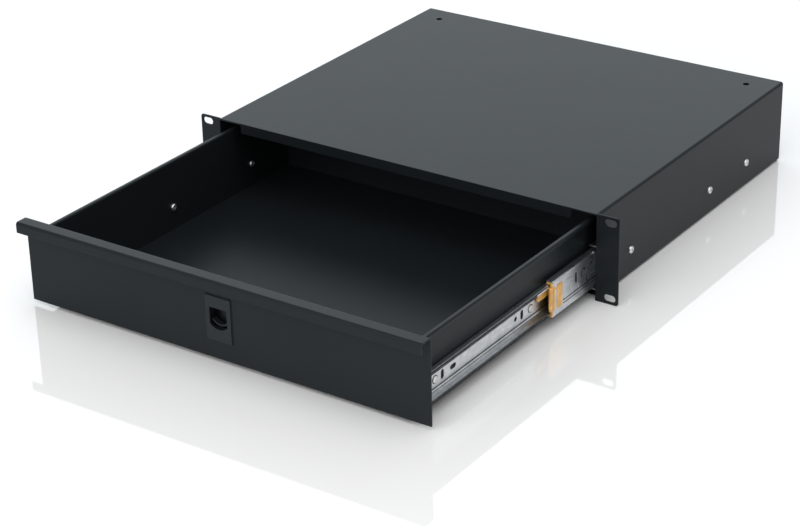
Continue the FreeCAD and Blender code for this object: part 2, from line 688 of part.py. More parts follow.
def drawer_tray():
    """Floor, two hemmed sides, back wall and front flanges, bent from one sheet."""
    body = new_body("drawer_tray")
    half, wall, low, high = tray_half, tray_sheet, tray_bottom, tray_top
    inside = half - wall
    hem = inside + hem_width
    right = [(half, low), (half, high - wall), (hem - wall, high - wall), (hem - wall, high - hem_drop),
             (hem, high - hem_drop), (hem, high), (inside, high), (inside, low + wall)]
    left = [(-x, z) for x, z in reversed(right)]
    section = new_sketch(body, "XZ_Plane")
    outline(section, right + left)
    pad(body, section, tray_depth, reverse=True)
    fillet(body, [(half, low), (-half, low), (inside, high), (-inside, high), (hem, high), (-hem, high)],
           "XZ", bend + wall / 2)
    back = new_sketch(body, "XZ_Plane", -(tray_depth - wall))
    rectangle(back, wall / 2 - half, half - wall / 2, low + wall / 2, high - 2 * wall)
    pad(body, back, wall, reverse=True)
    flanges = new_sketch(body, "XZ_Plane")
    for side in (1, -1):
        outer, inner = side * (half - wall / 2), side * (half - tray_flange)
        rectangle(flanges, outer, inner, low + wall / 2, high - hem_drop - wall)
    pad(body, flanges, wall, reverse=True)
    foot = new_sketch(body, "XZ_Plane")
    reach = half - tray_flange - wall
    rectangle(foot, -reach, reach, low + wall / 2, low + tray_flange)
    pad(body, foot, wall, reverse=True)
    holes = new_sketch(body, "YZ_Plane")
    for along in DRAWER_SCREWS:
        circle(holes, rail_setback + along, slide_level, screw_shank + 2 * screw_fit)
    pocket(body, holes, chassis_width, midplane=True)
    place(body, y=panel_back)
    return body


def front_panel():
    """Flat front whose top edge turns forward and down into a full-width pull."""
    body = new_body("front_panel")
    wall, face = panel_sheet, -panel_sheet
    top, foot = panel_top, panel_bottom
    tip = face - lip_reach
    section = new_sketch(body, "YZ_Plane")
    outline(section, [(0, foot), (0, top), (tip, top), (tip, top - lip_drop), (tip + wall, top - lip_drop),
                      (tip + wall, top - wall), (face, top - wall), (face, foot)])
    pad(body, section, 2 * panel_half, midplane=True)
    fillet(body, [(0, top), (tip, top)], "YZ", bend + wall)
    fillet(body, [(tip + wall, top - wall), (face, top - wall)], "YZ", bend)
    cutout = new_sketch(body, "XZ_Plane")
    wide, tall = latch_half_width + cutout_fit, latch_half_height + cutout_fit
    rectangle(cutout, -wide, wide, -tall, tall)
    pocket(body, cutout, 4 * wall, midplane=True)
    place(body, y=panel_back)
    return body


def drawer_rail_screws():
    """Pan heads inside the drawer, set ends in the drawer rails."""
    grip = (tray_sheet + rail_sheet).value
    shank, head, rise = screw_shank.value / 2, screw_head.value / 2, screw_rise.value
    end, end_rise = nut_head.value / 2, nut_rise.value
    profile = [(-grip - end_rise, 0), (-grip - end_rise, end * 0.85), (-grip, end), (-grip, shank),
               (0, shank), (0, head), (rise * 0.6, head * 0.92), (rise, head * 0.55), (rise, 0)]
    solids = []
    for sx in (1, -1):
        for along in DRAWER_SCREWS:
            at = (sx * (tray_half - tray_sheet).value, (rail_setback + along).value, slide_level.value)
            solids.append(turned(profile, at, FreeCAD.Vector(-sx, 0, 0)))
    item = group("drawer_rail_screws", solids)
    place(item, y=panel_back)
    return item


# ---- latch

def latch_housing():
    """Moulded cup snapped into the front panel, with a bezel and a finger window."""
    body = new_body("latch_housing")
    face = panel_sheet
    bezel = new_sketch(body, "XZ_Plane", face)
    rectangle(bezel, -(bezel_width / 2), bezel_width / 2, -(bezel_height / 2), bezel_height / 2)
    pad(body, bezel, bezel_rise)
    tips = [(sx * bezel_width / 2, sz * bezel_height / 2) for sx in (1, -1) for sz in (1, -1)]
    fillet(body, tips, "XZ", bezel_corner)
    wide, tall = latch_half_width, latch_half_height
    cup = new_sketch(body, "XZ_Plane", -latch_depth)
    rectangle(cup, -wide, wide, -tall, tall)
    pad(body, cup, latch_depth + face)
    snaps = new_sketch(body, "XY_Plane")
    lug = cutout_fit + snap_rise
    for sx in (1, -1):
        tip = (sx * (wide + lug), cutout_fit)
        outline(snaps, [(sx * wide, cutout_fit), tip, (sx * wide, latch_depth / 2)])
    pad(body, snaps, snap_length, midplane=True)
    cavity = new_sketch(body, "XZ_Plane", -latch_depth)
    inner, level = wide - latch_wall, tall - latch_wall
    rectangle(cavity, -inner, inner, -level, level)
    pocket(body, cavity, latch_depth, reverse=True)
    bosses = new_sketch(body, "XZ_Plane", -latch_depth)
    for sx in (1, -1):
        rectangle(bosses, sx * inner, sx * (inner - cover_boss), -level, cover_boss - level)
    pad(body, bosses, latch_depth - slider_back - slider_play)
    window = new_sketch(body, "XZ_Plane", face + bezel_rise)
    side, sill = window_width / 2, window_height / 2
    sag = window_arch - root(window_arch * window_arch - side * side)
    outline(window, [(-side, sill), (-side, sag - sill, window_arch), (side, sag - sill), (side, sill)])
    pocket(body, window, face + bezel_rise + latch_wall)
    slot = new_sketch(body, "XZ_Plane", -latch_depth)
    gap = bolt_width / 2 + slider_play
    rectangle(slot, -gap, gap, level - latch_wall, tall + latch_wall)
    pocket(body, slot, latch_depth - bolt_front + slider_play, reverse=True)
    holes = new_sketch(body, "XZ_Plane", -latch_depth)
    for sx in (1, -1):
        circle(holes, sx * (inner - cover_boss / 2), cover_boss / 2 - level, cover_screw)
    pocket(body, holes, (latch_depth - slider_back) * 0.8, reverse=True)
    place(body, y=panel_back)
    return body


def latch_slider():
    """Finger shelf, back plate and bolt in one moulding; a spring holds it up."""
    body = new_body("latch_slider")
    level = latch_half_height - latch_wall
    plate_top = level - slider_travel / 2
    front = slider_back - slider_sheet
    plate = new_sketch(body, "XZ_Plane", -front)
    half = slider_width / 2
    shoulder = bolt_width / 2
    outline(plate, [(-half, -slider_foot), (half, -slider_foot), (half, plate_top),
                    (shoulder, plate_top), (shoulder, bolt_top), (-shoulder, bolt_top),
                    (-shoulder, plate_top), (-half, plate_top)])
    pad(body, plate, slider_sheet, reverse=True)
    shelf = new_sketch(body, "XZ_Plane", -slider_play)
    rectangle(shelf, -half, half, -slider_foot, slider_shelf - slider_foot)
    pad(body, shelf, front - slider_play, reverse=True)
    nose = new_sketch(body, "YZ_Plane")
    heel = latch_half_height + slider_play + slider_travel
    outline(nose, [(bolt_front, heel), (front, heel), (front, bolt_top - bolt_hold),
                   (front, bolt_top), (bolt_front, bolt_top)])
    pad(body, nose, bolt_width, midplane=True)
    ramp = new_sketch(body, "YZ_Plane")
    over = bolt_top + slider_sheet
    outline(ramp, [(slider_back, bolt_top - bolt_hold - slider_sheet), (slider_back + slider_sheet, over),
                   (bolt_front + slider_sheet, over)])
    pocket(body, ramp, bolt_width + slider_sheet, midplane=True)
    tab = new_sketch(body, "XZ_Plane", -slider_back)
    reach = spring_diameter / 2
    rectangle(tab, -reach, reach, spring_tab, spring_tab + slider_sheet)
    pad(body, tab, latch_depth - slider_back - slider_play, reverse=True)
    place(body, y=panel_back)
    return body


def latch_cover():
    """Flat cover over the back of the latch housing, with square holes for its screws."""
    body = new_body("latch_cover")
    plate = new_sketch(body, "XZ_Plane", -latch_depth)
    wide, tall = latch_half_width, latch_half_height
    rectangle(plate, -wide, wide, -tall, tall)
    pad(body, plate, latch_cover_sheet, reverse=True)
    holes = new_sketch(body, "XZ_Plane", -latch_depth)
    across_boss, level = wide - latch_wall - cover_boss / 2, cover_boss / 2 - (tall - latch_wall)
    hole = cover_screw / 2 + screw_fit
    for sx in (1, -1):
        rectangle(holes, sx * across_boss - hole, sx * across_boss + hole, level - hole, level + hole)
    pocket(body, holes, 3 * latch_cover_sheet, midplane=True)
    place(body, y=panel_back)
    return body


def latch_cover_screws():
    grip = latch_cover_sheet.value
    bite = (latch_depth - slider_back).value * 0.7
    shank, head = cover_screw.value / 2, cover_head.value / 2
    profile = [(-grip - bite, 0), (-grip - bite, shank), (0, shank), (0, head), (shank * 1.3, head * 0.6),
               (shank * 1.3, 0)]
    inner, level = latch_half_width - latch_wall, latch_half_height - latch_wall
    solids = []
    for sx in (1, -1):
        at = (sx * (inner - cover_boss / 2).value, (latch_depth + latch_cover_sheet).value,
              (cover_boss / 2 - level).value)
        solids.append(turned(profile, at, FreeCAD.Vector(0, 1, 0)))
    item = group("latch_cover_screws", solids)
    place(item, y=panel_back)
    return item


def latch_spring():
    """Compression spring between the housing's floor and the slider's tab, wound from square wire."""
    low = (latch_wall - latch_half_height).value
    height = spring_tab.value - low
    wire, turns = spring_wire.value, spring_turns.value
    radius = (spring_diameter.value - wire) / 2
    pitch = (height - wire) / turns
    corners = [(radius - wire / 2, -wire / 2), (radius + wire / 2, -wire / 2),
               (radius + wire / 2, wire / 2), (radius - wire / 2, wire / 2)]
    steps = round(turns * SPRING_STEPS)
    rings = []
    for i in range(steps + 1):
        angle, rise = 2 * math.pi * turns * i / steps, pitch * turns * i / steps
        rings.append([FreeCAD.Vector(x * math.cos(angle), x * math.sin(angle), z + rise) for x, z in corners])
    ends = [[sum(ring, FreeCAD.Vector()) * (1 / len(ring))] for ring in (rings[0], rings[-1])]
    coil = skin([ends[0], *rings, ends[1]])
    item = group("latch_spring", [coil])
    item.Placement.Base = FreeCAD.Vector(0, 0, low + wire / 2)
    item.setExpression("Placement.Base.y", (panel_back + (slider_back + latch_depth) / 2).text)
    return item


# ---- release levers

def release_lever(name, side):
    """Plastic lever on a pin in the drawer rail; pressing it lets the rail slide out of its guide."""
    body = new_body(f"{name}_release_lever")
    inner = lever_line + lever_sheet / 2
    profile = new_sketch(body, "YZ_Plane", across(side, inner))
    thumb, tail = lever_height / 2, lever_tail_height / 2
    neck = lever_front * 0.45
    tip = lever_front - thumb / 2
    outline(profile, [(-lever_front, -(thumb / 2)), (-tip, -thumb), (-neck, -thumb), (0, -thumb * 0.9),
                      (lever_tail, -tail), (lever_tail, tail), (0, thumb * 0.9), (-neck, thumb),
                      (-tip, thumb), (-lever_front, thumb / 2)])
    pad(body, profile, lever_sheet, reverse=side < 0)
    eye = new_sketch(body, "YZ_Plane")
    circle(eye, 0, 0, pivot_pin + 2 * pivot_play)
    pocket(body, eye, chassis_width, midplane=True)
    place(body, y=drawer_rail_front + lever_place, z=slide_level + lever_rise)
    return body


def lever_pivots():
    """Headed pins riveted to the drawer rails' webs."""
    base = slide_width - rail_sheet
    under = lever_line - lever_sheet / 2 - race_gap
    reach = (base - under).value
    pin, head, rise = pivot_pin.value / 2, pivot_head.value / 2, pivot_head_rise.value
    profile = [(0, 0), (0, pin), (reach, pin), (reach, head), (reach + rise, head * 0.85),
               (reach + rise, 0)]
    along, level = (drawer_rail_front + lever_place).value, (slide_level + lever_rise).value
    solids = []
    for sx in (1, -1):
        at = (across(sx, base).value, along, level)
        solids.append(turned(profile, at, FreeCAD.Vector(sx, 0, 0)))
    return group("lever_pivots", solids)


def build_slide(name, side):
    outer_web = rail_sheet + (web_gap - cage_sheet) / 2
    middle_face = middle_web + rail_sheet
    inner_web = middle_face + (inner_tip - middle_face - cage_sheet) / 2
    outer = (outer_ball_level, outer_cage_length, outer_cage_rest)
    inner = (inner_ball_level, inner_cage_length, inner_cage_rest)
    return [cabinet_rail(name, side), intermediate_rail(name, side), drawer_rail(name, side),
            ball_cage(name, side, "outer", outer_web, *outer), balls(name, side, "outer", *outer),
            ball_cage(name, side, "inner", inner_web, *inner), balls(name, side, "inner", *inner),
            rail_bumper(name, side), rail_stop(name, side), release_lever(name, side)]


nodes = [chassis_shell(), rear_panel(), chassis_screws(), drawer_tray(), front_panel(),
         drawer_rail_screws(), latch_housing(), latch_slider(), latch_cover(), latch_cover_screws(),
         latch_spring(), lever_pivots()]
for name, side in (("left", -1), ("right", 1)):
    nodes += build_slide(name, side)

doc.recompute()
for item in doc.Objects:
    if {"Invalid", "Error"} & set(item.State):
        raise RuntimeError(f"{item.Label}: {item.State}")
for node in nodes:
    if node.Shape.isNull() or not node.Shape.isValid():
        raise RuntimeError(f"{node.Label}: bad shape")

os.makedirs("parts", exist_ok=True)
for node in nodes:
    node.Shape.exportStep(f"parts/{node.Label}.step")
    print(f"{node.Label}: {len(node.Shape.Solids)} solid(s), {node.Shape.Volume / 1000:.2f} cm3")
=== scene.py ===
"""Finish of a two-unit sliding rack drawer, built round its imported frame. Lengths are in metres."""
import json
import math

import bmesh
import bpy
from mathutils import Matrix, Vector


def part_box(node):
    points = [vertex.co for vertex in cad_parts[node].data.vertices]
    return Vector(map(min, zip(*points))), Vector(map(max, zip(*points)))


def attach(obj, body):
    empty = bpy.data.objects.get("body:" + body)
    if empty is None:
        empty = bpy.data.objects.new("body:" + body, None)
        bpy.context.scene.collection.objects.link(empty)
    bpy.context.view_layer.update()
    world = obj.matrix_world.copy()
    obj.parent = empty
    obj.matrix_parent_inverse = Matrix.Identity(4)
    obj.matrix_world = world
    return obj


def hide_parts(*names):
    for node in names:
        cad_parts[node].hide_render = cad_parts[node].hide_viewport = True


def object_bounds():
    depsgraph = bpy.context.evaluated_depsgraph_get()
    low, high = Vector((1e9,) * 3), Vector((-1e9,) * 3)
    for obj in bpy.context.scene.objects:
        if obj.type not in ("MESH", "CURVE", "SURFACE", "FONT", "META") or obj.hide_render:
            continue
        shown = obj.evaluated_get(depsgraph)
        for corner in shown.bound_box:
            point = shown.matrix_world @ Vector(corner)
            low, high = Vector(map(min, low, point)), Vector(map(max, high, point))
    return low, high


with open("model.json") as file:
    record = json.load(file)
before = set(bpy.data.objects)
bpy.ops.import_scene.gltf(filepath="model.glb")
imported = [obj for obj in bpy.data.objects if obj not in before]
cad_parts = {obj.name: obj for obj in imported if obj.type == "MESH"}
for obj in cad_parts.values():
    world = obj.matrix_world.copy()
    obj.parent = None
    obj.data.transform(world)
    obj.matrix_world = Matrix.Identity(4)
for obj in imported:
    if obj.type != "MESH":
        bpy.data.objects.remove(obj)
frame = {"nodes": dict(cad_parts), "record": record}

cad_box = [list(corner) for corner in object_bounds()]

MM = 0.001
SIDES = {"left": -1, "right": 1}
FLOOR_GAP = 0.1 * MM
WELD = 0.002 * MM

# How far the sharp edges of each kind of piece are eased.
SHEET_EDGE = 0.22 * MM
RAIL_EDGE = 0.15 * MM
CAGE_EDGE = 0.08 * MM
MOULDED_EDGE = 0.25 * MM
RELIEF_EDGE = 0.05 * MM

BODY_OF = {node: body for body, nodes in frame["record"]["behaviour"]["bodies"].items() for node in nodes}
SLOT_OF = {part["node"]: part["material_slot"] for part in frame["record"]["subparts"]}


# ---- materials

# Sockets of a colour Mix node, by number, because their names repeat.
SHARE, FIRST, SECOND, MIXED = 0, 6, 7, 2

# Black coats and mouldings shine slightly cool.
COOL_SHEEN = (0.80, 0.95, 1.0, 1.0)


def linear(hex_colour):
    """An sRGB hex colour as linear RGBA."""
    parts = [int(hex_colour[i:i + 2], 16) / 255 for i in (1, 3, 5)]
    return [c / 12.92 if c <= 0.04045 else ((c + 0.055) / 1.055) ** 2.4 for c in parts] + [1.0]


def per(millimetres):
    """The texture scale that makes one feature of a pattern this large."""
    return 1 / (millimetres * MM)


def add(tree, kind, inputs=None, **settings):
    """Adds a node with its settings; an input given a socket is linked, and one given a value is set."""
    node = tree.nodes.new(kind)
    for name, value in settings.items():
        setattr(node, name, value)
    for key, value in (inputs or {}).items():
        if isinstance(value, bpy.types.NodeSocket):
            tree.links.new(value, node.inputs[key])
        else:
            node.inputs[key].default_value = value
    return node


def surface(name, even):
    """A material with one shader, whose even values sit on the shader's own inputs.

    It comes with its tree, its shader and the place on the piece, for the patterns that vary.
    """
    made = bpy.data.materials.new(name)
    made.use_nodes = True
    tree = made.node_tree
    tree.nodes.clear()
    shader = add(tree, "ShaderNodeBsdfPrincipled", even)
    add(tree, "ShaderNodeOutputMaterial", {"Surface": shader.outputs[0]})
    place = add(tree, "ShaderNodeTexCoord").outputs["Object"]
    return made, tree, shader, place


def vary(shader, sources):
    """Links what varies over the surface to the shader's inputs."""
    for name, source in sources.items():
        shader.id_data.links.new(source, shader.inputs[name])


def powder_coat():
    """Polyester powder coat baked on steel: grey-black, even and satin, with a fine grain.

    The real grain is about 0.3 mm; it is drawn at 0.9 mm so that it shows.
    """
    made, tree, shader, place = surface("black_powder_coat", {"IOR": 1.5, "Specular IOR Level": 0.20,
                                                             "Specular Tint": COOL_SHEEN})
    grain = add(tree, "ShaderNodeTexNoise",
                {"Vector": place, "Scale": per(0.9), "Detail": 3.0, "Roughness": 0.6})
    peel = add(tree, "ShaderNodeTexNoise", {"Vector": place, "Scale": per(5.0), "Detail": 1.0})
    cloud = add(tree, "ShaderNodeTexNoise", {"Vector": place, "Scale": per(70.0), "Detail": 2.0})
    tone = add(tree, "ShaderNodeMix",
               {SHARE: cloud.outputs[0], FIRST: linear("#16191b"), SECOND: linear("#1a1e20")},
               data_type="RGBA")
    fleck = add(tree, "ShaderNodeMapRange", {"Value": grain.outputs[0], "From Min": 0.35, "From Max": 0.7,
                                             "To Min": 0.88, "To Max": 1.14})
    colour = add(tree, "ShaderNodeVectorMath", {"Vector": tone.outputs[MIXED], "Scale": fleck.outputs[0]},
                 operation="SCALE")
    gloss = add(tree, "ShaderNodeMapRange", {"Value": grain.outputs[0], "From Min": 0.3, "From Max": 0.7,
                                             "To Min": 0.35, "To Max": 0.42})
    height = add(tree, "ShaderNodeMath", {0: peel.outputs[0], 1: 0.8, 2: grain.outputs[0]},
                 operation="MULTIPLY_ADD")
    relief = add(tree, "ShaderNodeBump",
                 {"Strength": 0.2, "Distance": 0.04 * MM, "Height": height.outputs[0]})
    vary(shader, {"Base Color": colour.outputs[0], "Roughness": gloss.outputs[0],
                  "Normal": relief.outputs[0]})
    return made


def drawn_steel(name, bright, dull, smooth, rough):
    """Rolled or drawn steel, plated or bare: faint draw lines run along it, under a soft mottle.

    The real draw lines are about 0.1 mm apart; they are drawn at 0.7 mm so that they show.
    """
    made, tree, shader, place = surface(name, {"Metallic": 1.0})
    along = add(tree, "ShaderNodeMapping", {"Vector": place, "Scale": (1.0, 0.02, 1.0)})
    lines = add(tree, "ShaderNodeTexNoise", {"Vector": along.outputs[0], "Scale": per(0.7), "Detail": 4.0})
    mottle = add(tree, "ShaderNodeTexNoise",
                 {"Vector": place, "Scale": per(9.0), "Detail": 3.0, "Roughness": 0.6})
    mixed = add(tree, "ShaderNodeMath", {0: lines.outputs[0], 1: 0.5, 2: mottle.outputs[0]},
                operation="MULTIPLY_ADD")
    share = add(tree, "ShaderNodeMapRange", {"Value": mixed.outputs[0], "From Min": 0.55, "From Max": 0.95})
    tone = add(tree, "ShaderNodeMix", {SHARE: share.outputs[0], FIRST: linear(dull), SECOND: linear(bright)},
               data_type="RGBA")
    gloss = add(tree, "ShaderNodeMapRange", {"Value": share.outputs[0], "To Min": rough, "To Max": smooth})
    relief = add(tree, "ShaderNodeBump",
                 {"Strength": 0.18, "Distance": 0.02 * MM, "Height": lines.outputs[0]})
    vary(shader, {"Base Color": tone.outputs[MIXED], "Roughness": gloss.outputs[0],
                  "Normal": relief.outputs[0]})
    return made


def amber_acetal():
    """Moulded amber acetal: waxy and slightly see-through, glossy where the mould was polished."""
    even = {"IOR": 1.48, "Subsurface Weight": 0.35, "Subsurface Radius": (4.0 * MM, 2.0 * MM, 0.5 * MM),
            "Coat Weight": 0.4, "Coat Roughness": 0.12}
    made, tree, shader, place = surface("amber_acetal", even)
    flow = add(tree, "ShaderNodeTexNoise",
               {"Vector": place, "Scale": per(12.0), "Detail": 1.0, "Distortion": 0.8})
    tone = add(tree, "ShaderNodeMix",
               {SHARE: flow.outputs[0], FIRST: linear("#c07a24"), SECOND: linear("#ffd684")},
               data_type="RGBA")
    gloss = add(tree, "ShaderNodeMapRange", {"Value": flow.outputs[0], "To Min": 0.24, "To Max": 0.38})
    vary(shader, {"Base Color": tone.outputs[MIXED], "Roughness": gloss.outputs[0]})
    return made


def moulded_black(name, dark, light, smooth, rough, grain_size):
    """Black moulded plastic or rubber with the fine etched grain of its mould.

    The real grain is about 0.2 mm; it is drawn coarser so that it shows.
    """
    made, tree, shader, place = surface(name, {"IOR": 1.5, "Specular IOR Level": 0.28,
                                               "Specular Tint": COOL_SHEEN})
    grain = add(tree, "ShaderNodeTexNoise", {"Vector": place, "Scale": per(grain_size), "Detail": 2.0})
    tone = add(tree, "ShaderNodeMix", {SHARE: grain.outputs[0], FIRST: linear(dark), SECOND: linear(light)},
               data_type="RGBA")
    gloss = add(tree, "ShaderNodeMapRange", {"Value": grain.outputs[0], "To Min": smooth, "To Max": rough})
    relief = add(tree, "ShaderNodeBump",
                 {"Strength": 0.2, "Distance": 0.03 * MM, "Height": grain.outputs[0]})
    vary(shader, {"Base Color": tone.outputs[MIXED], "Roughness": gloss.outputs[0],
                  "Normal": relief.outputs[0]})
    return made


def white_acrylic():
    """White acrylic sheet under the drawer: pale, smooth and softly mirror-like."""
    made, tree, shader, place = surface("white_acrylic", {"IOR": 1.85, "Base Color": linear("#f6f6f6")})
    haze = add(tree, "ShaderNodeTexNoise", {"Vector": place, "Scale": per(400.0)})
    gloss = add(tree, "ShaderNodeMapRange", {"Value": haze.outputs[0], "To Min": 0.035, "To Max": 0.05})
    vary(shader, {"Roughness": gloss.outputs[0]})
    return made


MATERIALS = {
    "black_steel": powder_coat(),
    # Blue-white zinc plate on the rails: bright and cool, half way to matt.
    "zinc_rail": drawn_steel("zinc_plated_rail", "#dcdfe2", "#c4c8cc", 0.26, 0.36),
    # Zinc plate on the screws: neutral, and a little duller for its handling.
    "zinc_screw": drawn_steel("zinc_plated_screw", "#ececea", "#d2d2d0", 0.30, 0.42),
    # Bare strip: dark grey and dull, for the ball cages; it also serves as painted shade in the rail creases,
    # on the pressed hooks and round the set ends.
    "cage_steel": drawn_steel("cage_strip_and_painted_shade", "#5c5f62", "#3c3f42", 0.40, 0.55),
    # Ground and polished balls: almost mirrors.
    "ball_steel": drawn_steel("polished_ball_steel", "#e6e8ea", "#d8dadd", 0.06, 0.10),
    # Drawn spring wire: mid grey with a soft shine.
    "spring_steel": drawn_steel("spring_wire", "#9a9a9c", "#7c7d80", 0.25, 0.38),
    "amber_plastic": amber_acetal(),
    # ABS from an etched mould: satin, nearly as light as the powder coat.
    "black_plastic": moulded_black("satin_abs", "#1a1e20", "#1f2325", 0.36, 0.44, 0.8),
    # ABS from a smoother mould: deep black, with clearer highlights.
    "latch_plastic": moulded_black("glossy_abs", "#060707", "#0b0c0d", 0.30, 0.40, 0.8),
    # Moulded rubber: matt, with no clear highlight; it also serves as painted shade in the latch's shadow gap
    # and the rails' open slots.
    "black_rubber": moulded_black("black_rubber", "#17181a", "#222325", 0.6, 0.75, 1.0),
}


# ---- making pieces

# Faces that meet within FLAT are one face, and a bevel eases an edge that turns by more than SHARP.
FLAT = math.radians(0.3)
SHARP = math.radians(40)
# Grown pieces, which have no bevel, keep an edge crisp from this turn up.
CRISP = math.radians(35)


def settle(piece, body, slot, *stands_for):
    """Puts a finished piece on its body and hides the CAD nodes it stands for. The slot is not used."""
    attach(piece, body)
    if stands_for:
        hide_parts(*stands_for)
    return piece


def piece_from(mesh, name, slot):
    """An object at the origin that shows a mesh in one finish."""
    piece = bpy.data.objects.new(name, mesh)
    bpy.context.scene.collection.objects.link(piece)
    mesh.materials.clear()
    mesh.materials.append(MATERIALS[slot])
    return piece


def applied(piece):
    """Turns the object's modifiers into plain mesh."""
    graph = bpy.context.evaluated_depsgraph_get()
    mesh = bpy.data.meshes.new_from_object(piece.evaluated_get(graph), preserve_all_data_layers=True,
                                           depsgraph=graph)
    piece.modifiers.clear()
    piece.data = mesh
    return piece


def welded(node):
    """A copy of a CAD node's mesh with its triangles joined and its flat faces whole."""
    work = bmesh.new()
    work.from_mesh(frame["nodes"][node].data)
    bmesh.ops.remove_doubles(work, verts=work.verts, dist=WELD)
    bmesh.ops.dissolve_limit(work, angle_limit=FLAT, verts=work.verts, edges=work.edges)
    return work


def eased(work, name, slot, edge):
    """A piece from mesh work, with its sharp edges eased and its bends shaded smooth."""
    mesh = bpy.data.meshes.new(name)
    work.to_mesh(mesh)
    work.free()
    mesh.shade_smooth()
    piece = piece_from(mesh, name, slot)
    round_over = piece.modifiers.new("round_over", "BEVEL")
    round_over.width = edge
    round_over.segments = 2
    round_over.limit_method = "ANGLE"
    round_over.angle_limit = SHARP
    round_over.use_clamp_overlap = False
    flat_faces = piece.modifiers.new("flat_faces", "WEIGHTED_NORMAL")
    flat_faces.weight = 100
    flat_faces.keep_sharp = False
    return applied(piece)


def refined(node, edge):
    """The CAD node's own shape with eased edges and smooth bends, in its finish.

    It is held to the node's box, because easing a thin fold can push a corner out.
    """
    piece = eased(welded(node), f"{node}_finished", SLOT_OF[node], edge)
    low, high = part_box(node)
    for vert in piece.data.vertices:
        vert.co = [min(max(value, least), most) for value, least, most in zip(vert.co, low, high)]
    return settle(piece, BODY_OF[node], SLOT_OF[node], node)


def drawn_out(name, body, slot, axis, loops, start, end, origin=(0.0, 0.0)):
    """A piece of closed loops, each drawn out along one axis from start to end.

    A loop's points are in millimetres from the origin on the other two axes, in their own order.
    """
    work = bmesh.new()
    across, up = (k for k in range(3) if k != axis)
    for loop in loops:
        ends = []
        for level in (start, end):
            ring = []
            for a, b in loop:
                spot = [level] * 3
                spot[across], spot[up] = origin[0] + a * MM, origin[1] + b * MM
                ring.append(work.verts.new(spot))
            work.faces.new(ring)
            ends.append(ring)
        for i in range(len(loop)):
            work.faces.new((ends[0][i - 1], ends[0][i], ends[1][i], ends[1][i - 1]))
    bmesh.ops.recalc_face_normals(work, faces=work.faces)
    return settle(eased(work, name, slot, RELIEF_EDGE), body, slot)


def block(low, high):
    """A loop round a rectangle between two corners."""
    return [(low[0], low[1]), (high[0], low[1]), (high[0], high[1]), (low[0], high[1])]


def arc(middle, radii, first, last, steps=12):
    """Points on part of an ellipse, between two angles in degrees."""
    turns = [math.radians(first + (last - first) * i / steps) for i in range(steps + 1)]
    return [(middle[0] + radii[0] * math.cos(turn), middle[1] + radii[1] * math.sin(turn))
            for turn in turns]


def crescent(middle, outer, inner, first, last):
    """A loop round a curved strip between two ellipses."""
    return arc(middle, outer, first, last) + arc(middle, inner, first, last)[::-1]


def solids_of(node):
    """(lowest corner, highest corner) of each separate solid in a CAD node."""
    work = welded(node)
    left = set(work.verts)
    found = []
    while left:
        group, front = set(), [left.pop()]
        while front:
            vert = front.pop()
            group.add(vert)
            for edge in vert.link_edges:
                other = edge.other_vert(vert)
                if other in left:
                    left.discard(other)
                    front.append(other)
        low = Vector([min(vert.co[k] for vert in group) for k in range(3)])
        high = Vector([max(vert.co[k] for vert in group) for k in range(3)])
        found.append((low, high))
    work.free()
    return sorted(found, key=lambda pair: tuple(pair[0]))


def recipe(name, **inputs):
    """A Geometry Nodes tree with named inputs; returns it with its input node's sockets by name."""
    tree = bpy.data.node_groups.new(name, "GeometryNodeTree")
    tree.interface.new_socket("Geometry", in_out="INPUT", socket_type="NodeSocketGeometry")
    tree.interface.new_socket("Geometry", in_out="OUTPUT", socket_type="NodeSocketGeometry")
    for label, kind in inputs.items():
        tree.interface.new_socket(label.replace("_", " "), in_out="INPUT", socket_type=f"NodeSocket{kind}")
    return tree, add(tree, "NodeGroupInput").outputs


def finish_recipe(tree, geometry, material):
    """Ends a tree: real mesh, smooth faces with sharp corners kept, material set."""
    real = add(tree, "GeometryNodeRealizeInstances", {0: geometry})
    smooth = add(tree, "GeometryNodeSetShadeSmooth", {"Geometry": real.outputs[0]}, domain="FACE")
    angle = add(tree, "GeometryNodeInputMeshEdgeAngle")
    sharp = add(tree, "FunctionNodeCompare", {"A": angle.outputs[0], "B": CRISP}, operation="GREATER_THAN")
    kept = add(tree, "GeometryNodeSetShadeSmooth",
               {"Geometry": smooth.outputs[0], "Selection": sharp.outputs[0], "Shade Smooth": False},
               domain="EDGE")
    painted = add(tree, "GeometryNodeSetMaterial", {"Geometry": kept.outputs[0], "Material": material})
    add(tree, "NodeGroupOutput", {0: painted.outputs[0]})
    return tree


def grown(tree, name, points, body, slot, sizes, *stands_for):
    """A piece that a tree grows on points, turned to plain mesh."""
    mesh = bpy.data.meshes.new(name)
    mesh.from_pydata(points, [], [])
    piece = bpy.data.objects.new(name, mesh)
    bpy.context.scene.collection.objects.link(piece)
    growth = piece.modifiers.new("growth", "NODES")
    growth.node_group = tree
    values = {**sizes, "Finish": MATERIALS[slot]}
    for item in tree.interface.items_tree:
        if item.in_out == "INPUT" and item.name in values:
            growth[item.identifier] = values[item.name]
    return settle(applied(piece), body, slot, *stands_for)


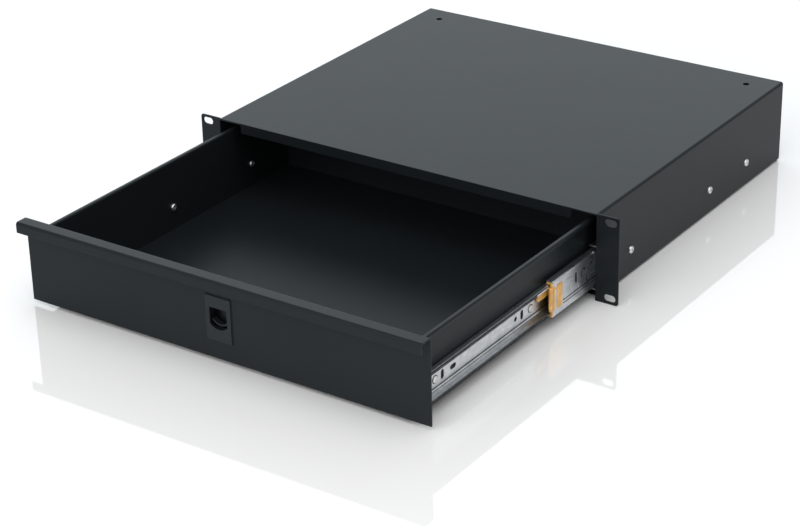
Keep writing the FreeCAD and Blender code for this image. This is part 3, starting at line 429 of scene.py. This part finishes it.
def head_recipe():
    """Pan heads with a cross recess, one on each point, facing away from or towards the middle plane."""
    tree, given = recipe("cross_recessed_heads", Radius="Float", Rise="Float", Fullness="Float",
                         Recess_width="Float", Recess_reach="Float", Recess_depth="Float",
                         Outward="Float", Finish="Material")
    # The upper half of a ball of radius 1 is drawn out to the head's radius and rise; its lower half is flat.
    ball = add(tree, "GeometryNodeMeshUVSphere", {"Segments": 32, "Rings": 16, "Radius": 1.0})
    where = add(tree, "GeometryNodeInputPosition")
    parts = add(tree, "ShaderNodeSeparateXYZ", {0: where.outputs[0]})
    flat = add(tree, "ShaderNodeCombineXYZ", {0: parts.outputs[0], 1: parts.outputs[1]})
    reach = add(tree, "ShaderNodeVectorMath", {0: flat.outputs[0]}, operation="LENGTH")
    safe = add(tree, "ShaderNodeMath", {0: reach.outputs["Value"], 1: 0.001}, operation="MAXIMUM")
    power = add(tree, "ShaderNodeMath", {0: given["Fullness"], 1: 1.0}, operation="SUBTRACT")
    swell = add(tree, "ShaderNodeMath", {0: safe.outputs[0], 1: power.outputs[0]}, operation="POWER")
    across = add(tree, "ShaderNodeMath", {0: swell.outputs[0], 1: given["Radius"]}, operation="MULTIPLY")
    spread = add(tree, "ShaderNodeVectorMath", {0: flat.outputs[0], 3: across.outputs[0]}, operation="SCALE")
    upper = add(tree, "ShaderNodeMath", {0: parts.outputs[2], 1: 0.0}, operation="MAXIMUM")
    curve = add(tree, "ShaderNodeMath", {0: upper.outputs[0], 1: given["Fullness"]}, operation="POWER")
    level = add(tree, "ShaderNodeMath", {0: curve.outputs[0], 1: given["Rise"]}, operation="MULTIPLY")
    stand = add(tree, "ShaderNodeCombineXYZ", {2: level.outputs[0]})
    shape = add(tree, "ShaderNodeVectorMath", {0: spread.outputs[0], 1: stand.outputs[0]}, operation="ADD")
    dome = add(tree, "GeometryNodeSetPosition", {"Geometry": ball.outputs[0], "Position": shape.outputs[0]})
    # Two crossed bars cut the recess from the top.
    deep = add(tree, "ShaderNodeMath", {0: given["Recess depth"], 1: 2.0}, operation="MULTIPLY")
    top = add(tree, "ShaderNodeCombineXYZ", {2: given["Rise"]})
    bars = []
    for first, second in (("Recess width", "Recess reach"), ("Recess reach", "Recess width")):
        size = add(tree, "ShaderNodeCombineXYZ", {0: given[first], 1: given[second], 2: deep.outputs[0]})
        bar = add(tree, "GeometryNodeMeshCube", {"Size": size.outputs[0]})
        bars.append(add(tree, "GeometryNodeTransform",
                        {"Geometry": bar.outputs[0], "Translation": top.outputs[0]}))
    cut = add(tree, "GeometryNodeMeshBoolean", {"Mesh 1": dome.outputs[0]},
              operation="DIFFERENCE", solver="EXACT")
    for bar in bars:
        tree.links.new(bar.outputs[0], cut.inputs["Mesh 2"])
    # Each head faces along X, away from the middle plane where Outward is 1.
    place = add(tree, "GeometryNodeInputPosition")
    side = add(tree, "ShaderNodeSeparateXYZ", {0: place.outputs[0]})
    sign = add(tree, "ShaderNodeMath", {0: side.outputs[0]}, operation="SIGN")
    facing = add(tree, "ShaderNodeMath", {0: sign.outputs[0], 1: given["Outward"]}, operation="MULTIPLY")
    way = add(tree, "ShaderNodeCombineXYZ", {0: facing.outputs[0]})
    turn = add(tree, "FunctionNodeAlignRotationToVector", {"Vector": way.outputs[0]}, axis="Z")
    spots = add(tree, "GeometryNodeInstanceOnPoints",
                {"Points": given["Geometry"], "Instance": cut.outputs[0], "Rotation": turn.outputs[0]})
    return finish_recipe(tree, spots.outputs[0], given["Finish"])


def ball_recipe():
    """A round ball on each point."""
    tree, given = recipe("bearing_balls", Radius="Float", Finish="Material")
    ball = add(tree, "GeometryNodeMeshIcoSphere", {"Radius": given["Radius"], "Subdivisions": 4})
    spots = add(tree, "GeometryNodeInstanceOnPoints",
                {"Points": given["Geometry"], "Instance": ball.outputs[0]})
    return finish_recipe(tree, spots.outputs[0], given["Finish"])


def coil_recipe():
    """A compression coil of even turns that stands on each point."""
    tree, given = recipe("compression_coil", Radius="Float", Height="Float", Turns="Float", Wire="Float",
                         Finish="Material")
    path = add(tree, "GeometryNodeCurveSpiral",
               {"Resolution": 24, "Rotations": given["Turns"], "Start Radius": given["Radius"],
                "End Radius": given["Radius"], "Height": given["Height"]})
    section = add(tree, "GeometryNodeCurvePrimitiveCircle", {"Resolution": 10, "Radius": given["Wire"]})
    coil = add(tree, "GeometryNodeCurveToMesh",
               {"Curve": path.outputs[0], "Profile Curve": section.outputs[0], "Fill Caps": True})
    spots = add(tree, "GeometryNodeInstanceOnPoints",
                {"Points": given["Geometry"], "Instance": coil.outputs[0]})
    return finish_recipe(tree, spots.outputs[0], given["Finish"])


# ---- sheet metal, slides and latch

for node, edge in (("chassis_shell", SHEET_EDGE), ("rear_panel", SHEET_EDGE), ("drawer_tray", SHEET_EDGE),
                   ("front_panel", SHEET_EDGE), ("latch_housing", MOULDED_EDGE),
                   ("latch_slider", MOULDED_EDGE), ("latch_cover", MOULDED_EDGE)):
    refined(node, edge)
for side in SIDES:
    for part, edge in (("cabinet_rail", RAIL_EDGE), ("intermediate_rail", RAIL_EDGE),
                       ("drawer_rail", RAIL_EDGE), ("outer_ball_cage", CAGE_EDGE),
                       ("inner_ball_cage", CAGE_EDGE), ("rail_stop", MOULDED_EDGE),
                       ("release_lever", MOULDED_EDGE)):
        refined(f"{side}_{part}", edge)

# ---- rolled corners of the drawer rails, with painted shade in their creases

# Thin relief is sunk this far into what carries it.
SEAT = 0.1 * MM

# The rails' sheet, the grooves rolled into their flanges, and how far a corner stops from a rail's end.
RAIL_SHEET = 1.2 * MM
RACE = 0.3 * MM
RAIL_END = 0.2 * MM
# The release lever swings between the two stretches of the upper corner.
LEVER_ROOM = (7.0 * MM, 6.5 * MM)
# A rolled corner's section, in mm: out from the web's face, and in from the flange's face.
ROLLED = [(-0.3, 5.2), (0.05, 5.1), (0.05, 4.1), (0.5, 3.6), (1.1, 2.7), (0.8, 2.4), (0.9, 1.9), (1.6, 1.6),
          (2.6, 1.0), (4.4, 0.7), (6.0, 0.5), (6.4, 0.3), (6.4, -0.3), (-0.3, -0.3)]
# The folds in it, where the plate stays dull.
# Painted shade: dark strips in the corner's creases and over its flange tip, where shade falls and a
# highlight would show.
FOLD_SHADE = [block((-0.2, 4.0), (0.2, 5.15)), block((0.7, 1.85), (1.0, 2.5)), block((6.3, -1.55), (6.55, 0.35))]

low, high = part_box("right_drawer_rail")
drawer_web = low.x + RAIL_SHEET
front, back = low.y + RAIL_END, high.y - RAIL_END
lever_low, lever_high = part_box("right_release_lever")
FLANGES = (("lower", low.z + RAIL_SHEET + RACE, 1, {"front": (front, back)}),
           ("upper", high.z - RAIL_SHEET - RACE, -1, {"front": (front, lever_low.y - LEVER_ROOM[0]),
                                                      "back": (lever_high.y + LEVER_ROOM[1], back)}))
for name, slot, loops in (("rolled_corner", "zinc_rail", [ROLLED]), ("folds", "cage_steel", FOLD_SHADE)):
    for level, face, way, stretches in FLANGES:
        corners = [[(sign * (drawer_web / MM + out), way * inward) for out, inward in loop]
                   for loop in loops for sign in (1, -1)]
        for place, (start, end) in stretches.items():
            drawn_out(f"drawer_rail_{level}_{place}_{name}", "drawer", slot, 1, corners, start, end,
                      origin=(0.0, face))

# ---- stamped marks and painted shade on the intermediate rails, ribs on their bumpers

low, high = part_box("right_intermediate_rail")
middle_web = high.x
rail_front = low.y
slide_level = (low.z + high.z) / 2

# Each mark's finish, its height in mm, and its loops: behind the rail's front end, above the slide's middle.
# Painted shade: the fold shade strips are dark lines where the creases fall in shade, the slot shade is a
# black strip where the open slot lies in shade, and the hooks are real pressed shapes drawn dark for their
# shaded outlines.
STAMPS_AND_SHADE = {"raised_web": ("zinc_rail", 0.35, [block((19.0, -6.3), (36.0, 10.5)),
                                              block((44.5, -6.3), (339.0, -1.0))]),
           "folds": ("cage_steel", 0.12, [block((18.0, -7.8), (339.5, -6.4)),
                                          block((18.0, -10.9), (339.5, -10.0))]),
           "dark_slot": ("black_rubber", 0.10, [block((39.3, 0.7), (41.2, 11.1))]),
           "slot_edge": ("zinc_rail", 0.7, [block((41.4, 0.7), (42.4, 10.9))]),
           "hooks": ("cage_steel", 0.5, [crescent((53.0, 5.5), (4.4, 5.2), (3.0, 3.8), 20, 250),
                                         crescent((61.5, 0.0), (3.9, 6.6), (2.6, 5.2), 60, 300)])}

# The bumper's front roll and its four small ribs, in mm: out from the web, behind the rail's front end.
RIBS = [arc((-1.2, -2.0), (2.0, 1.8), -150, 80)]
RIBS += [arc((-0.1, behind), (1.1, 1.35), -90, 90) for behind in (1.4, 8.4, 11.4, 14.4)]
# Their lower and upper ends, from the slide's middle, and the strip that joins their tops.
RIB_ENDS = (-10.5 * MM, 12.5 * MM)
BRIDGE = block((0.0, 8.9), (14.0, 10.5))
BRIDGE_RISE = 0.4 * MM
CAP_BELOW_WEB = 0.02 * MM

for side, sign in SIDES.items():
    body = f"{side}_intermediate"
    for name, (slot, rise, loops) in STAMPS_AND_SHADE.items():
        drawn_out(f"{side}_rail_{name}", body, slot, 0, loops, sign * (middle_web - SEAT),
                  sign * (middle_web + rise * MM), origin=(rail_front, slide_level))
    ribs = [[(sign * (middle_web / MM + out), behind) for out, behind in loop] for loop in RIBS]
    drawn_out(f"{side}_bumper_ribs", body, "amber_plastic", 2, ribs, slide_level + RIB_ENDS[0],
              slide_level + RIB_ENDS[1], origin=(0.0, rail_front))
    drawn_out(f"{side}_bumper_bridge", body, "amber_plastic", 0, [BRIDGE], sign * (middle_web - SEAT),
              sign * (middle_web + BRIDGE_RISE), origin=(rail_front, slide_level))
    # The bumper without its plain snap tab outside the web, where the ribs stand.
    cap = welded(f"{side}_rail_bumper")
    bmesh.ops.bisect_plane(cap, geom=cap.verts[:] + cap.edges[:] + cap.faces[:], clear_outer=True,
                           plane_co=(sign * (middle_web - CAP_BELOW_WEB), 0, 0), plane_no=(sign, 0, 0))
    bmesh.ops.holes_fill(cap, edges=[edge for edge in cap.edges if edge.is_boundary])
    settle(eased(cap, f"{side}_rail_bumper_cap", "amber_plastic", MOULDED_EDGE), body, "amber_plastic",
           f"{side}_rail_bumper")

# ---- finger lip of the latch, and painted shadow round its bezel

# The curved shelf under a fingertip, in mm across and up, and how deep it is.
LIP_DEPTH = 5.1 * MM
FINGER_LIP = crescent((0.0, 3.75), (11.6, 11.6), (9.9, 9.9), 215, 325)
low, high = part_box("latch_slider")
drawn_out("latch_finger_lip", "latch_slider", "black_plastic", 1, [FINGER_LIP], low.y, low.y + LIP_DEPTH)

PANEL_SHEET = 1.5 * MM
SHADOW_GAP_RISE = 0.3 * MM
# The painted shadow gap, a black strip round the bezel, in mm: how far it reaches under the bezel, across and
# up, and how wide it is.
SHADOW_GAP_LAP = (0.1, 0.15)
SHADOW_GAP_WIDTH = 1.0
low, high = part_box("front_panel")
panel_face = high.y - PANEL_SHEET
low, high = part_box("latch_housing")
near_x, near_z = high.x / MM - SHADOW_GAP_LAP[0], high.z / MM - SHADOW_GAP_LAP[1]
far_x, far_z = near_x + SHADOW_GAP_WIDTH, near_z + SHADOW_GAP_WIDTH
SHADOW_GAP = [block((sign * near_x, -far_z), (sign * far_x, far_z)) for sign in (1, -1)]
SHADOW_GAP += [block((-near_x, sign * near_z), (near_x, sign * far_z)) for sign in (1, -1)]
drawn_out("latch_shadow_gap", "drawer", "black_rubber", 1, SHADOW_GAP, panel_face - SHADOW_GAP_RISE, panel_face + SEAT)

# ---- fasteners, balls and spring

def head_seats(node, outward, rise):
    """Where the heads of a node's screws sit, on their outward ends or on those towards the middle."""
    seats = []
    for low, high in solids_of(node):
        middle = (low + high) / 2
        ends = sorted((abs(low.x), abs(high.x)))
        seat = ends[1] - rise if outward > 0 else ends[0] + rise
        seats.append((math.copysign(seat, middle.x), middle.y, middle.z))
    return seats


PAN_HEAD = {"Radius": 3.8 * MM, "Rise": 2.4 * MM, "Fullness": 0.55, "Recess width": 0.8 * MM,
            "Recess reach": 3.4 * MM, "Recess depth": 0.9 * MM}
SET_END = {"Radius": 3.4 * MM, "Rise": 1.1 * MM, "Fullness": 0.5, "Recess width": 0.9 * MM,
           "Recess reach": 0.9 * MM, "Recess depth": 0.5 * MM}
# The dark rim round a set end, painted shade of the gap round it, in mm, and how far it stands from the web.
RIM_OUTER, RIM_INNER = (4.1, 4.1), (3.3, 3.3)
RIM_RISE = 0.15 * MM
BALL_RADIUS = 1.5 * MM
SPRING_WIRE = 0.25 * MM
SPRING_TURNS = 7.0

heads = head_recipe()
for name, node, body, size, outward, stands_for in (
        ("chassis_screw_heads", "chassis_screws", "chassis", PAN_HEAD, 1.0, ["chassis_screws"]),
        ("tray_screw_heads", "drawer_rail_screws", "drawer", PAN_HEAD, -1.0, ["drawer_rail_screws"]),
        ("drawer_rail_set_ends", "drawer_rail_screws", "drawer", SET_END, 1.0, [])):
    seats = head_seats(node, outward, size["Rise"])
    grown(heads, name, seats, body, "zinc_screw", {**size, "Outward": outward}, *stands_for)

set_ends = head_seats("drawer_rail_screws", 1.0, SET_END["Rise"])
for side, sign in SIDES.items():
    shade_rings = [crescent((y / MM, z / MM), RIM_OUTER, RIM_INNER, first, first + 180)
            for x, y, z in set_ends if x * sign > 0 for first in (0, 180)]
    drawn_out(f"{side}_set_end_shade_rings", "drawer", "cage_steel", 0, shade_rings, sign * (drawer_web - SEAT),
              sign * (drawer_web + RIM_RISE))

balls = ball_recipe()
for side in SIDES:
    for row in ("outer", "inner"):
        node = f"{side}_{row}_balls"
        middles = [tuple((low + high) / 2) for low, high in solids_of(node)]
        grown(balls, f"{node}_round", middles, BODY_OF[node], "ball_steel", {"Radius": BALL_RADIUS}, node)

low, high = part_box("latch_spring")
foot = (0.0, (low.y + high.y) / 2, low.z + SPRING_WIRE)
coil = {"Radius": (high.x - low.x) / 2 - SPRING_WIRE, "Height": high.z - low.z - 2 * SPRING_WIRE,
        "Turns": SPRING_TURNS, "Wire": SPRING_WIRE}
grown(coil_recipe(), "latch_spring_coil", [foot], "drawer", "spring_steel", coil, "latch_spring")

# Each CAD node gets its finish too, also where a finished piece stands for it.
for node, item in frame["nodes"].items():
    item.data.materials.clear()
    item.data.materials.append(MATERIALS[SLOT_OF[node]])


# ---- stage

FLOOR_REACH = 6.0
CAMERA_PLACE = (1.13668, -1.63737, 0.91153)
CAMERA_TURN = {"azimuth": 34.79, "elevation": 26.10, "roll": -1.26}
PLAIN_WHITE = (1.0, 1.0, 1.0)
COOL_WHITE = (0.84, 0.94, 1.0)


def floor():
    """A wide white sheet under the drawer."""
    mesh = bpy.data.meshes.new("floor")
    level = cad_box[0][2] - FLOOR_GAP
    corners = [(across * FLOOR_REACH, along * FLOOR_REACH, level)
               for across, along in ((-1, -1), (1, -1), (1, 1), (-1, 1))]
    mesh.from_pydata(corners, [], [(0, 1, 2, 3)])
    sheet = bpy.data.objects.new("floor", mesh)
    bpy.context.scene.collection.objects.link(sheet)
    mesh.materials.append(white_acrylic())


def soft_light(name, place, target, size, power, tint):
    """A rectangular soft light that points at a target."""
    data = bpy.data.lights.new(name, "AREA")
    data.color = tint
    data.shape = "RECTANGLE"
    data.size, data.size_y = size
    data.energy = power
    light = bpy.data.objects.new(name, data)
    bpy.context.scene.collection.objects.link(light)
    light.location = place
    light.rotation_euler = (Vector(target) - Vector(place)).to_track_quat("-Z", "Y").to_euler()


def camera():
    """The camera at the object's usual catalogue angle."""
    data = bpy.data.cameras.new("camera")
    data.lens = 102.275
    data.sensor_width = 36.0
    data.clip_end = 20.0
    azimuth, elevation, roll = (math.radians(CAMERA_TURN[name]) for name in ("azimuth", "elevation", "roll"))
    ahead = Vector((-math.sin(azimuth) * math.cos(elevation), math.cos(azimuth) * math.cos(elevation),
                    -math.sin(elevation)))
    right = Vector((math.cos(azimuth), math.sin(azimuth), 0.0))
    up = right.cross(ahead)
    across = right * math.cos(roll) + up * math.sin(roll)
    above = up * math.cos(roll) - right * math.sin(roll)
    view = bpy.data.objects.new("camera", data)
    bpy.context.scene.collection.objects.link(view)
    turn = Matrix((across, above, -ahead)).transposed().to_4x4()
    view.matrix_world = Matrix.Translation(CAMERA_PLACE) @ turn
    bpy.context.scene.camera = view


def studio():
    """Even white surroundings and three large soft lights: behind, in front and overhead."""
    world = bpy.data.worlds.new("studio")
    world.use_nodes = True
    world.node_tree.nodes.clear()
    glow = add(world.node_tree, "ShaderNodeBackground", {"Color": (*PLAIN_WHITE, 1.0), "Strength": 0.56})
    add(world.node_tree, "ShaderNodeOutputWorld", {"Surface": glow.outputs[0]})
    bpy.context.scene.world = world
    bpy.context.scene.view_settings.view_transform = "Standard"
    soft_light("back_softbox", place=(-1.54, 2.21, 1.32), target=(0.0, 0.0, 0.0), size=(4.6, 2.4),
               power=30.0, tint=COOL_WHITE)
    soft_light("key_softbox", place=(-0.2, -2.5, 1.3), target=(0.0, -0.1, 0.0), size=(2.2, 1.6),
               power=27.0, tint=PLAIN_WHITE)
    soft_light("overhead", place=(0.9, -0.7, 2.4), target=(0.0, 0.0, 0.0), size=(2.4, 2.4),
               power=32.5, tint=PLAIN_WHITE)


floor()
camera()
studio()
